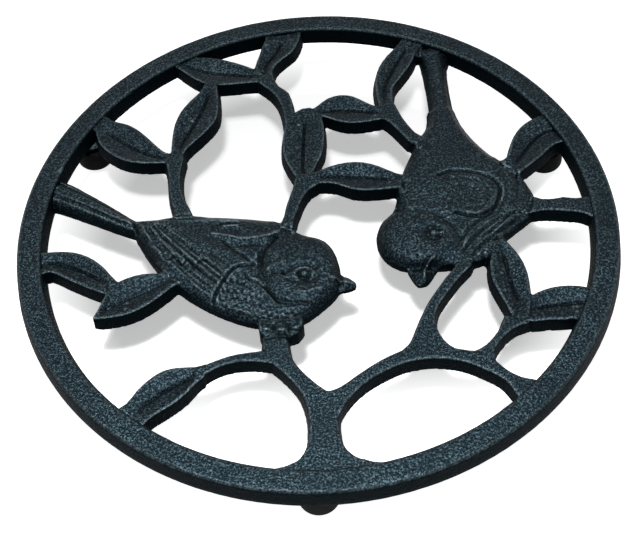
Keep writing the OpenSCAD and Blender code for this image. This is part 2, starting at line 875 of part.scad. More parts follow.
rim();
main_stem();
left_bough();
right_bough();
fork_twig();
lower_leaf_twig();
rim_twig();
back_twig();
nape_twig();
crown_twig();
shoulder_twig();
leaf_low_left();
leaf_rim_left();
leaf_breast();
leaf_high_left();
leaf_upright();
leaf_crown_left();
leaf_crown_right();
leaf_centre();
leaf_bridge();
leaf_top_right();
leaf_middle();
leaf_rim_right();
leaf_hanging();
leaf_low_right();
perched_bird();
perched_tail();
perched_toes();
hanging_bird();
hanging_tail();
front_peg();
right_peg();
left_peg();
front_cap();
right_cap();
left_cap();
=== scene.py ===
import math

import bmesh
import bpy
from mathutils import Matrix, Vector, noise
from mathutils.bvhtree import BVHTree
from mathutils.kdtree import KDTree


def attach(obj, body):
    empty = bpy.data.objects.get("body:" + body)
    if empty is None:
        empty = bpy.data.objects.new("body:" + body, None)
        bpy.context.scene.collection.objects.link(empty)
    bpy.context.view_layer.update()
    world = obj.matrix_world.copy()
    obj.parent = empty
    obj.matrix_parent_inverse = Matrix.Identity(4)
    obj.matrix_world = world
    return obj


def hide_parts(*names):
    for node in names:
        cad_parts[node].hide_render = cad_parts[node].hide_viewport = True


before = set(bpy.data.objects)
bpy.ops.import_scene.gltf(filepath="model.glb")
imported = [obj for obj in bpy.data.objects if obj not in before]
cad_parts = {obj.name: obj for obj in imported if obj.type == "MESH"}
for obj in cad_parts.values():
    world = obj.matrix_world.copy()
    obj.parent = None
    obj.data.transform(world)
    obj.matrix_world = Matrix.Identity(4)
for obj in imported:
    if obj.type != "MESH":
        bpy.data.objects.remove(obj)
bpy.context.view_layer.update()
mm = 0.001
sameSpot = 0.001   # mm, points this close are one

# camera, fitted to the photo

camera = {
    "lens": 69.44, "sensor": 36,      # mm
    "target": (0.21, -19.99, 17.0),   # mm
    "distance": 399.85,               # mm
    "elevation": 53.642,              # degrees
    "roll": -4.084,                   # degrees
    "near": 0.01, "far": 20,          # m
}


def placeCamera():
    rise, roll = math.radians(camera["elevation"]), math.radians(camera["roll"])
    forward = Vector((0, math.cos(rise), -math.sin(rise)))
    right, up = Vector((1, 0, 0)), Vector((0, math.sin(rise), math.cos(rise)))
    turnedRight = right * math.cos(roll) + up * math.sin(roll)
    turnedUp = up * math.cos(roll) - right * math.sin(roll)
    data = bpy.data.cameras.new("photoCamera")
    data.lens = camera["lens"]
    data.sensor_width = camera["sensor"]
    data.clip_start, data.clip_end = camera["near"], camera["far"]
    cam = bpy.data.objects.new("photoCamera", data)
    bpy.context.scene.collection.objects.link(cam)
    place = Matrix((turnedRight, turnedUp, -forward)).transposed().to_4x4()
    place.translation = (Vector(camera["target"]) - forward * camera["distance"]) * mm
    cam.matrix_world = place
    bpy.context.scene.camera = cam


# shader nodes that the floor and the finishes share


def setOrLink(links, socket, value):
    if isinstance(value, (int, float)):
        socket.default_value = value
    elif isinstance(value, tuple):
        socket.default_value = (*value, 1)
    else:
        links.new(value, socket)


def arithmetic(nodes, links, operation, a, b):
    node = nodes.new("ShaderNodeMath")
    node.operation = operation
    setOrLink(links, node.inputs[0], a)
    setOrLink(links, node.inputs[1], b)
    return node.outputs[0]


def mapRange(nodes, links, value, fromRange, toRange=(0.0, 1.0), curve="SMOOTHSTEP"):
    node = nodes.new("ShaderNodeMapRange")
    node.interpolation_type = curve
    for name, number in zip(("From Min", "From Max", "To Min", "To Max"), (*fromRange, *toRange)):
        node.inputs[name].default_value = number
    links.new(value, node.inputs["Value"])
    return node.outputs["Result"]


def mixColour(nodes, links, factor, a, b):
    node = nodes.new("ShaderNodeMix")
    node.data_type = "RGBA"
    links.new(factor, node.inputs["Factor"])
    setOrLink(links, node.inputs[6], a)      # the two colours of an RGBA mix
    setOrLink(links, node.inputs[7], b)
    return node.outputs[2]


def cloudy(nodes, links, where, scale, detail=2, roughness=0.5):
    node = nodes.new("ShaderNodeTexNoise")
    node.inputs["Scale"].default_value = scale
    node.inputs["Detail"].default_value = detail
    node.inputs["Roughness"].default_value = roughness
    links.new(where, node.inputs["Vector"])
    return node.outputs["Fac"]


def roughen(nodes, links, shader, height, strength, depth):
    bump = nodes.new("ShaderNodeBump")
    bump.inputs["Strength"].default_value = strength
    bump.inputs["Distance"].default_value = depth * mm
    links.new(height, bump.inputs["Height"])
    links.new(bump.outputs["Normal"], shader.inputs["Normal"])


def seenDirectly(nodes, links):
    # 1 for the camera's own rays and what it sees in gloss or through glass, else 0
    path = nodes.new("ShaderNodeLightPath")
    seen = arithmetic(nodes, links, "MAXIMUM", path.outputs["Is Camera Ray"], path.outputs["Is Glossy Ray"])
    return arithmetic(nodes, links, "MAXIMUM", seen, path.outputs["Is Transmission Ray"])


# light and floor

studio = {
    "world": (0.94, 0.98, 1.0), "worldStrength": 0.15,
    "ceiling": {"from": (-0.04, 0.10, 1.0), "angle": 18, "strength": 1.27},
    "front": {"at": (-0.06, 0.02, 1.15), "aim": (0.0, -0.24, 0.0), "cone": 27, "radius": 0.11, "watts": 70},   # m
    "floorColour": 0.95, "floorSize": 3,
    "frontGlow": 0.95, "backGlow": 0.46, "farGlow": 0.97,
    "frontToBack": (-0.060, -0.044), "nearToFar": (0.074, 0.094),   # m, where one glow passes into the next
}


def hangLamp(name, kind, place, aim):
    data = bpy.data.lights.new(name, kind)
    lamp = bpy.data.objects.new(name, data)
    bpy.context.scene.collection.objects.link(lamp)
    lamp.location = place
    lamp.rotation_mode = "QUATERNION"
    lamp.rotation_quaternion = (Vector(aim) - Vector(place)).to_track_quat("-Z", "Y")
    return data


def lightStudio():
    ceiling, front = studio["ceiling"], studio["front"]
    sun = hangLamp("ceilingLamp", "SUN", ceiling["from"], (0, 0, 0))
    sun.energy = ceiling["strength"]
    sun.angle = math.radians(ceiling["angle"])
    spot = hangLamp("frontLamp", "SPOT", front["at"], front["aim"])
    spot.energy = front["watts"]
    spot.spot_size = math.radians(front["cone"])
    spot.spot_blend = 1.0
    spot.shadow_soft_size = front["radius"]
    world = bpy.data.worlds.new("studioWorld")
    bpy.context.scene.world = world
    world.use_nodes = True
    nodes, links = world.node_tree.nodes, world.node_tree.links
    back = nodes["Background"]
    back.inputs["Color"].default_value = (*studio["world"], 1)
    back.inputs["Strength"].default_value = studio["worldStrength"]
    white = nodes.new("ShaderNodeBackground")
    white.inputs["Color"].default_value = (1, 1, 1, 1)
    white.inputs["Strength"].default_value = 1.0
    pick = nodes.new("ShaderNodeMixShader")
    links.new(seenDirectly(nodes, links), pick.inputs["Fac"])
    links.new(back.outputs[0], pick.inputs[1])
    links.new(white.outputs[0], pick.inputs[2])
    links.new(pick.outputs[0], nodes["World Output"].inputs["Surface"])


def palePaper():
    mat = bpy.data.materials.new("paleFloor")
    mat.use_nodes = True
    nodes, links = mat.node_tree.nodes, mat.node_tree.links
    nodes.clear()
    out = nodes.new("ShaderNodeOutputMaterial")
    matte = nodes.new("ShaderNodeBsdfDiffuse")
    matte.inputs["Color"].default_value = (*[studio["floorColour"]] * 3, 1)
    glow = nodes.new("ShaderNodeEmission")
    glow.inputs["Color"].default_value = (1, 1, 1, 1)
    where = nodes.new("ShaderNodeTexCoord").outputs["Object"]
    away = nodes.new("ShaderNodeVectorMath")
    away.operation = "LENGTH"
    links.new(where, away.inputs[0])
    place = nodes.new("ShaderNodeSeparateXYZ")
    links.new(where, place.inputs[0])
    # painted light: the floor's glow is strong at the front and away from the trivet and weaker at the back, so the
    # shadow shows at the back, little at the front, and the paper is fully white away from the trivet
    under = mapRange(nodes, links, place.outputs["Y"], studio["frontToBack"],
                     (studio["frontGlow"], studio["backGlow"]), "LINEAR")
    outside = mapRange(nodes, links, away.outputs["Value"], studio["nearToFar"], curve="LINEAR")
    glowing = nodes.new("ShaderNodeMix")
    links.new(outside, glowing.inputs["Factor"])
    links.new(under, glowing.inputs["A"])
    glowing.inputs["B"].default_value = studio["farGlow"]
    strength = arithmetic(nodes, links, "MULTIPLY", seenDirectly(nodes, links), glowing.outputs["Result"])
    links.new(strength, glow.inputs["Strength"])
    both = nodes.new("ShaderNodeAddShader")
    links.new(matte.outputs[0], both.inputs[0])
    links.new(glow.outputs[0], both.inputs[1])
    links.new(both.outputs[0], out.inputs["Surface"])
    return mat


def layFloor():
    bm = bmesh.new()
    bmesh.ops.create_grid(bm, x_segments=1, y_segments=1, size=studio["floorSize"])
    mesh = bpy.data.meshes.new("studioFloor")
    bm.to_mesh(mesh)
    bm.free()
    floor = bpy.data.objects.new("studioFloor", mesh)
    bpy.context.scene.collection.objects.link(floor)
    mesh.materials.append(palePaper())


bpy.context.scene.view_settings.view_transform = "Standard"
placeCamera()
lightStudio()
layFloor()
print("camera, lights and floor are set")

# finishes

ironFinish = {
    # painted shade: the wall colour is a darker copy of the top colour, for upright faces
    "top": (0.005, 0.009, 0.012), "wall": (0.001, 0.004, 0.006), "grainAndGlint": (0.041, 0.065, 0.076),
    # painted shade and highlight: hollow is the dark colour for creases, ridge the light colour for ridges
    "hollow": (0.002, 0.004, 0.005), "ridge": (0.078, 0.108, 0.120),
    "grainSize": 0.70, "grainDetail": 3, "grainRough": 0.6,
    "pitSize": 0.96, "pitShare": -0.35, "bumpDepth": 0.48, "bumpStrength": 0.55,   # sizes in mm
    "roughTop": 0.40, "roughWall": 0.88,
    "wallToTop": (0.32, 0.94),      # upward share of the normal
    # peaks of the grain that take the light grain colour: partly the grain's tone, partly painted glints on faces
    # turned up
    "glintPeaks": (0.46, 0.66),          # grain that shows
    "driftScale": 55, "drift": (0.3, 0.7), "driftLeast": 0.55,   # broad change from batch to batch of sand
    "ridgeHighlight": (0.506, 0.540), "ridgeHighlightGrain": (0.40, 0.58), "ridgeHighlightLeast": 0.35,   # pointiness, grain
    "creaseShade": (0.44, 0.495),        # pointiness
}


def blankMaterial(name):
    mat = bpy.data.materials.new(name)
    mat.use_nodes = True
    nodes = mat.node_tree.nodes
    return mat, nodes, mat.node_tree.links, nodes["Principled BSDF"]


def castIron():
    finish = ironFinish
    mat, nodes, links, shader = blankMaterial("castIron")
    where = nodes.new("ShaderNodeTexCoord").outputs["Object"]
    grainAndGlint = cloudy(nodes, links, where,
                   1 / (finish["grainSize"] * mm), finish["grainDetail"], finish["grainRough"])
    pits = nodes.new("ShaderNodeTexVoronoi")
    pits.inputs["Scale"].default_value = 1 / (finish["pitSize"] * mm)
    links.new(where, pits.inputs["Vector"])
    drift = cloudy(nodes, links, where, finish["driftScale"])
    sunk = arithmetic(nodes, links, "MULTIPLY", pits.outputs["Distance"], finish["pitShare"])
    height = arithmetic(nodes, links, "ADD", grainAndGlint, sunk)
    roughen(nodes, links, shader, height, finish["bumpStrength"], finish["bumpDepth"])

    shape = nodes.new("ShaderNodeNewGeometry")
    turn = nodes.new("ShaderNodeSeparateXYZ")
    links.new(shape.outputs["Normal"], turn.inputs[0])
    upward = mapRange(nodes, links, turn.outputs["Z"], finish["wallToTop"])
    # partly grain tone, partly painted glints: the light grain colour on the grain's peaks, on faces turned up only
    tops = arithmetic(nodes, links, "MULTIPLY", mapRange(nodes, links, grainAndGlint, finish["glintPeaks"]), upward)
    batch = mapRange(nodes, links, drift, finish["drift"], (finish["driftLeast"], 1.0))
    tops = arithmetic(nodes, links, "MULTIPLY", tops, batch)
    # painted highlight on the ridges and painted shade in the hollows, both by pointiness; the highlight shows on
    # faces turned up only and is broken by the grain
    ridgeHighlight = mapRange(nodes, links, shape.outputs["Pointiness"], finish["ridgeHighlight"])
    specks = mapRange(nodes, links, grainAndGlint, finish["ridgeHighlightGrain"], (finish["ridgeHighlightLeast"], 1.0))
    ridgeHighlight = arithmetic(nodes, links, "MULTIPLY", ridgeHighlight, specks)
    ridgeHighlight = arithmetic(nodes, links, "MULTIPLY", ridgeHighlight, upward)
    creaseShade = mapRange(nodes, links, shape.outputs["Pointiness"], finish["creaseShade"], (1.0, 0.0))
    # painted shade: upright faces take the darker wall colour, faces turned up the top colour
    colour = mixColour(nodes, links, upward, finish["wall"], finish["top"])
    colour = mixColour(nodes, links, tops, colour, finish["grainAndGlint"])
    # painted shade in the creases
    colour = mixColour(nodes, links, creaseShade, colour, finish["hollow"])
    # painted highlight on the ridges
    colour = mixColour(nodes, links, ridgeHighlight, colour, finish["ridge"])
    links.new(colour, shader.inputs["Base Color"])
    rough = mapRange(nodes, links, upward, (0, 1), (finish["roughWall"], finish["roughTop"]))
    links.new(rough, shader.inputs["Roughness"])
    shader.inputs["Metallic"].default_value = 1.0
    return mat


rubberFinish = {
    "colour": (0.006, 0.006, 0.007), "worn": (0.014, 0.014, 0.015), "rough": 0.72, "shine": 0.05,
    "scuffScale": 260, "scuffDetail": 5, "scuffed": (0.52, 0.75), "skinScale": 2600,
    "bumpStrength": 0.3, "bumpDepth": 0.05,   # mm
}


def capRubber():
    finish = rubberFinish
    mat, nodes, links, shader = blankMaterial("capRubber")
    where = nodes.new("ShaderNodeTexCoord").outputs["Object"]
    scuffs = cloudy(nodes, links, where, finish["scuffScale"], finish["scuffDetail"])
    worn = mapRange(nodes, links, scuffs, finish["scuffed"])
    links.new(mixColour(nodes, links, worn, finish["colour"], finish["worn"]), shader.inputs["Base Color"])
    skin = cloudy(nodes, links, where, finish["skinScale"])
    roughen(nodes, links, shader, skin, finish["bumpStrength"], finish["bumpDepth"])
    shader.inputs["Roughness"].default_value = finish["rough"]
    shader.inputs["Specular IOR Level"].default_value = finish["shine"]
    return mat


iron = castIron()
rubber = capRubber()
print("materials are made")

# helpers for the pieces


def finishPiece(bm, name, material, nodeNames):
    mesh = bpy.data.meshes.new(name)
    for face in bm.faces:
        face.smooth = True
    bm.to_mesh(mesh)
    bm.free()
    mesh.materials.append(material)
    piece = bpy.data.objects.new(name, mesh)
    bpy.context.scene.collection.objects.link(piece)
    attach(piece, "root")
    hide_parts(*nodeNames)
    print(name, len(mesh.polygons), "faces")
    return piece


def turned(profile, steps, at=(0, 0)):
    # profile: (radius, height) in mm, closed, turned about the upright axis through at
    bm = bmesh.new()
    ring = [bm.verts.new(((at[0] + r) * mm, at[1] * mm, z * mm)) for r, z in profile]
    edges = [bm.edges.new((ring[k], ring[(k + 1) % len(ring)])) for k in range(len(ring))]
    bmesh.ops.spin(bm, geom=ring + edges, cent=(at[0] * mm, at[1] * mm, 0), axis=(0, 0, 1),
                   dvec=(0, 0, 0), angle=2 * math.pi, steps=steps, use_merge=True)
    bmesh.ops.remove_doubles(bm, verts=bm.verts, dist=sameSpot * mm)
    bmesh.ops.recalc_face_normals(bm, faces=bm.faces)
    return bm


def roundCorner(cx, cz, r, start, end, n):
    # points on an arc of the profile, from start to end in degrees
    return [(cx + r * math.cos(math.radians(start + (end - start) * k / n)),
             cz + r * math.sin(math.radians(start + (end - start) * k / n))) for k in range(n + 1)]


def unevenCast(bm, depth, size):
    # the small waves of a sand mould, along each normal
    bm.normal_update()
    shifts = [v.normal * (noise.noise(v.co / (size * mm)) * depth * mm) for v in bm.verts]
    for v, shift in zip(bm.verts, shifts):
        v.co += shift


# rim

rim = {"radius": 100, "width": 8.2, "top": 17.0, "under": 10.7, "draft": 0.9, "edge": 1.4, "footEdge": 0.4,
       "wall": [(2, 0.66), (3.8, 0.3)],   # height over the foot and share of the draft
       "steps": 720, "edgeSteps": 7, "footSteps": 3, "topSteps": 8, "underSteps": 6, "waves": 0.05, "waveSize": 2.2}


def makeRim():
    s = rim
    outer, inner = s["radius"], s["radius"] - s["width"]
    e, c = s["edge"], s["footEdge"]
    top, low = s["top"] - s["waves"], s["under"] + s["waves"]
    outerFoot, innerFoot = outer + s["draft"] - s["waves"], inner - s["draft"]
    profile = roundCorner(outerFoot - c, low + c, c, -90, 0, s["footSteps"])
    profile += [(outer + s["draft"] * share - s["waves"], low + rise) for rise, share in s["wall"]]
    profile += roundCorner(outer - e, top - e, e, 0, 90, s["edgeSteps"])
    profile += [(outer - e - k * (s["width"] - 2 * e) / s["topSteps"], top) for k in range(1, s["topSteps"])]
    profile += roundCorner(inner + e, top - e, e, 90, 180, s["edgeSteps"])
    profile += [(inner - s["draft"] * share, low + rise) for rise, share in reversed(s["wall"])]
    profile += roundCorner(innerFoot + c, low + c, c, 180, 270, s["footSteps"])
    across = s["width"] + 2 * s["draft"] - 2 * c
    profile += [(innerFoot + c + k * across / s["underSteps"], low) for k in range(1, s["underSteps"])]
    bm = turned(profile, s["steps"])
    unevenCast(bm, s["waves"], s["waveSize"])
    return finishPiece(bm, "rimRing", iron, ["rim"])


# lattice: boughs, leaves and birds as one skin, then parted into pieces

latticePieces = {
    "lowerBoughs": ["main_stem", "left_bough", "right_bough", "fork_twig", "lower_leaf_twig",
                    "leaf_low_left", "leaf_hanging", "leaf_low_right", "perched_toes"],
    "upperBoughs": ["back_twig", "leaf_high_left", "leaf_upright", "leaf_crown_left", "crown_twig",
                    "leaf_crown_right", "leaf_centre", "nape_twig", "leaf_bridge", "shoulder_twig",
                    "leaf_top_right", "leaf_middle"],
    "leftLeaves": ["leaf_rim_left", "leaf_breast"],
    "rimTwig": ["rim_twig"],
    "rightLeaf": ["leaf_rim_right"],
    "perchedBird": ["perched_bird", "perched_tail"],
    "hangingBird": ["hanging_bird", "hanging_tail"],
}
latticeNodes = [nodeName for nodeNames in latticePieces.values() for nodeName in nodeNames]
skin = {"grid": 0.36, "smoothTurns": 3, "ease": 0.5, "weld": 0.002, "waves": 0.05, "waveSize": 1.6,
        "atRim": 0.08, "rootInRim": 1.6, "onWall": 0.3, "wallTop": 13.9, "rootInBird": 4.0,
        "domeFrom": 15, "dipInBird": 1.0, "jointReach": 2.2, "jointTurns": 10,
        "plainTailTurns": 14, "plainTailFacing": 0.5}   # mm, ease and facing as shares


def rootInRim(bm):
    # an end that meets the rim's wall runs on into the rim, so that no seam opens there
    inner, shoulder = rim["radius"] - rim["width"], rim["top"] - rim["edge"]
    for v in bm.verts:
        r, z = math.hypot(v.co.x, v.co.y) / mm, v.co.z / mm
        wall = inner - rim["draft"] * max(0, shoulder - z) / (shoulder - rim["under"])
        if abs(r - wall) < skin["atRim"]:
            grow = (r + skin["rootInRim"]) / r
            v.co.x *= grow
            v.co.y *= grow


def joinInto(bm, part):
    mesh = bpy.data.meshes.new("part")
    part.to_mesh(mesh)
    part.free()
    bm.from_mesh(mesh)
    bpy.data.meshes.remove(mesh)


# corners of the openings that are rounded: corner, back along the stem and back along the rim (mm)
cornerWebs = {
    "main_stem": [((-15.1, -90.5), (-11.6, -88.6), (-19.0, -89.9)),
                  ((12.6, -90.9), (8.8, -88.9), (16.4, -90.4))],
}
webShape = {"steps": 8, "intoRim": 1.018, "alongStem": 0.2, "intoStem": 0.5}   # shares of the way


def roundCorners(bm, nodeName):
    low, high = min(v.co.z for v in bm.verts), max(v.co.z for v in bm.verts)
    for corner, fromStem, fromRim in cornerWebs.get(nodeName, ()):
        a, b, c = Vector(fromStem), Vector(corner), Vector(fromRim)
        shares = [k / webShape["steps"] for k in range(webShape["steps"] + 1)]
        curve = [a * (1 - t) ** 2 + b * 2 * t * (1 - t) + c * t * t for t in shares]
        inStem = a + (b - a) * webShape["alongStem"] - Vector((b.x - a.x, 0)) * webShape["intoStem"]
        solid = bmesh.new()
        base = solid.faces.new([solid.verts.new((p.x * mm, p.y * mm, low))
                                for p in curve + [c * webShape["intoRim"], b * webShape["intoRim"], inStem]])
        grown = bmesh.ops.extrude_face_region(solid, geom=[base])["geom"]
        raised = [v for v in grown if isinstance(v, bmesh.types.BMVert)]
        bmesh.ops.translate(solid, vec=(0, 0, high - low), verts=raised)
        bmesh.ops.recalc_face_normals(solid, faces=solid.faces)
        joinInto(bm, solid)


def rootInBirds(bm, walls, joints):
    # an end that meets a bird's wall runs on into the bird and dips under its dome
    for v in bm.verts:
        level = min(v.co.z, skin["wallTop"] * mm)
        place, normal = walls.find_nearest((v.co.x, v.co.y, level), skin["onWall"] * mm)[:2]
        if place is not None:
            joints.append(v.co.copy())
            v.co -= Vector((normal.x, normal.y, 0)).normalized() * skin["rootInBird"] * mm
            if v.co.z > skin["domeFrom"] * mm:
                v.co.z -= skin["dipInBird"] * mm


def nodeSolid(nodeName):
    bm = bmesh.new()
    bm.from_mesh(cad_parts[nodeName].data)
    return bm


def latticeSolids(walls, joints):
    bm = bmesh.new()
    owner = bm.faces.layers.int.new("owner")
    for number, nodeName in enumerate(latticeNodes):
        part = nodeSolid(nodeName)
        bmesh.ops.remove_doubles(part, verts=part.verts, dist=skin["weld"] * mm)
        rootInRim(part)
        roundCorners(part, nodeName)
        if not nodeName.endswith(("bird", "tail", "toes")):
            rootInBirds(part, walls, joints)
        known = len(bm.faces)
        joinInto(bm, part)
        bm.faces.ensure_lookup_table()
        for k in range(known, len(bm.faces)):
            bm.faces[k][owner] = number
    return bm


def modified(bm, addModifiers):
    # the mesh that the modifiers give, as a new bmesh
    mesh = bpy.data.meshes.new("raw")
    bm.to_mesh(mesh)
    raw = bpy.data.objects.new("raw", mesh)
    bpy.context.scene.collection.objects.link(raw)
    addModifiers(raw)
    depsgraph = bpy.context.evaluated_depsgraph_get()
    result = bmesh.new()
    result.from_mesh(raw.evaluated_get(depsgraph).to_mesh())
    bpy.data.objects.remove(raw)
    bpy.data.meshes.remove(mesh)
    return result


def remesh(raw):
    voxel = raw.modifiers.new("voxel", "REMESH")
    voxel.mode = "VOXEL"
    voxel.voxel_size = skin["grid"] * mm
    smooth = raw.modifiers.new("smooth", "SMOOTH")
    smooth.factor = skin["ease"]
    smooth.iterations = skin["smoothTurns"]


leafDish = {"brim": 16.1, "floor": 13.6, "facing": 0.4, "depth": 0.62}   # mm, mm, and shares


def shallowLeaves(verts):
    for v in verts:
        z = v.co.z / mm
        if leafDish["floor"] < z < leafDish["brim"] and v.normal.z > leafDish["facing"]:
            v.co.z = (leafDish["brim"] - (leafDish["brim"] - z) * leafDish["depth"]) * mm


def flatTree(points):
    tree = KDTree(len(points))
    for k, point in enumerate(points):
        tree.insert((point.x, point.y, 0), k)
    tree.balance()
    return tree


dome = {"foot": 12.9, "swell": 5.2, "drop": 0.92, "jointNear": 1.0, "jointFar": 4.0,   # mm, drop as a share
        "under": 1.0, "wallTilt": 0.4, "wallTop": 15.5, "offEnd": 0.3}                 # mm, tilt as a share


def sideWalls(bm, neighbour, points, faces):
    # the solid's upright faces, without its end at the neighbour and its end at the rim
    atRim = (rim["radius"] - rim["width"] - rim["draft"] - dome["offEnd"]) * mm
    for face in bm.faces:
        middle = face.calc_center_median()
        if abs(face.normal.z) < dome["wallTilt"] and middle.z < dome["wallTop"] * mm \
                and neighbour.find_nearest(middle)[3] > dome["offEnd"] * mm and middle.xy.length < atRim:
            faces.append([len(points), len(points) + 1, len(points) + 2])
            points += [v.co.copy() for v in face.verts]


def birdWalls():
    points, faces = [], []
    for name in ("perched", "hanging"):
        body, tail = nodeSolid(name + "_bird"), nodeSolid(name + "_tail")
        bmesh.ops.triangulate(body, faces=body.faces)
        bmesh.ops.triangulate(tail, faces=tail.faces)
        bodyTree, tailTree = BVHTree.FromBMesh(body), BVHTree.FromBMesh(tail)
        sideWalls(body, tailTree, points, faces)
        sideWalls(tail, bodyTree, points, faces)
        body.free()
        tail.free()
    print("bird walls", len(faces), "faces")
    return BVHTree.FromPolygons(points, faces)


def roundBirds(bm, verts, walls, joints):
    # bodies and tails swell gently from their outline, but stay high where a twig runs into them
    d = dome
    bm.normal_update()
    for v in verts:
        if v.co.z > d["foot"] * mm:
            gap = walls.find_nearest((v.co.x, v.co.y, (d["foot"] - d["under"]) * mm))[3] / mm
            joint = joints.find((v.co.x, v.co.y, 0))[2] / mm
            t = min(1, gap / d["swell"])
            share = d["drop"] * min(1, max(0, (joint - d["jointNear"]) / d["jointFar"]))
            v.co.z -= (v.co.z - d["foot"] * mm) * (1 - t) ** 3 * share


def smoothed(bm, verts, turns):
    for turn in range(turns):
        bmesh.ops.smooth_vert(bm, verts=verts, factor=skin["ease"],
                              use_axis_x=True, use_axis_y=True, use_axis_z=True)


def easeJoints(bm, joints):
    # a small fillet where a twig runs into a bird
    near = [v for v in bm.verts if joints.find((v.co.x, v.co.y, 0))[2] < skin["jointReach"] * mm]
    smoothed(bm, near, skin["jointTurns"])


def flatGap(v, x, y):
    return math.hypot(v.co.x / mm - x, v.co.y / mm - y)


# corners of the tails and one leaf's tip, eased further: middle seen from above and reach (mm)
corners = {"turns": 12, "places": [((42.2, 43.5), 4.0), ((51.1, 48.0), 4.0), ((-60.8, 5.4), 2.5),
                                   ((-58.6, -3.3), 2.5), ((-72.5, -34.9), 1.6)]}


def easeCorners(bm):
    for (x, y), reach in corners["places"]:
        smoothed(bm, [v for v in bm.verts if flatGap(v, x, y) < reach], corners["turns"])


# beaks: middle seen from above, reach and how much fuller (mm)
beaks = {"turns": 5, "places": [((9.2, -24.4), 3.6, 0.45), ((33.6, -24.0), 4.2, 0.35)]}


def fullBeaks(bm):
    for (x, y), reach, more in beaks["places"]:
        near = [v for v in bm.verts if flatGap(v, x, y) < reach]
        smoothed(bm, near, beaks["turns"])
        bm.normal_update()
        shifts = [v.normal * more * mm * min(1, 2 - 2 * flatGap(v, x, y) / reach) for v in near]
        for v, shift in zip(near, shifts):
            v.co += shift


def partLattice(walls):
    ends = []
    solids = latticeSolids(walls, ends)
    joints = flatTree(ends)
    number = solids.faces.layers.int["owner"]
    solids.faces.ensure_lookup_table()
    owner = [latticeNodes[face[number]] for face in solids.faces]
    tree = BVHTree.FromBMesh(solids)
    whole = modified(solids, remesh)
    solids.free()
    whole.normal_update()
    whole.faces.ensure_lookup_table()
    print("lattice skin", len(whole.faces), "faces")
    nearest = [owner[tree.find_nearest(face.calc_center_median())[2]] for face in whole.faces]
    leaves = {v for face in whole.faces if nearest[face.index].startswith("leaf") for v in face.verts}
    birds = {v for face in whole.faces if nearest[face.index].endswith(("bird", "tail")) for v in face.verts}
    plainTail = {v for face in whole.faces if nearest[face.index] == "hanging_tail" for v in face.verts}
    shallowLeaves(leaves)
    roundBirds(whole, birds, walls, joints)
    easeJoints(whole, joints)
    easeCorners(whole)
    smoothed(whole, [v for v in plainTail if v.normal.z > skin["plainTailFacing"]], skin["plainTailTurns"])
    fullBeaks(whole)
    parts = {}
    for name, nodeNames in latticePieces.items():
        part = whole.copy()
        part.faces.ensure_lookup_table()
        others = [face for face in part.faces if nearest[face.index] not in nodeNames]
        bmesh.ops.delete(part, geom=others, context="FACES")
        closeCuts(part)
        parts[name] = part
    whole.free()
    return parts


def closeCuts(bm):
    # pinched corners are parted first, so that every cut is one plain loop
    for v in [v for v in bm.verts if sum(e.is_boundary for e in v.link_edges) > 2]:
        bmesh.utils.vert_separate(v, [e for e in v.link_edges if e.is_boundary])
    cuts = [e for e in bm.edges if e.is_boundary]
    for e in cuts:
        e.smooth = False
    caps = bmesh.ops.holes_fill(bm, edges=cuts, sides=0)["faces"]
    bmesh.ops.triangulate(bm, faces=caps)
    bmesh.ops.recalc_face_normals(bm, faces=bm.faces)


# relief: lines drawn on the tops of the birds and leaves

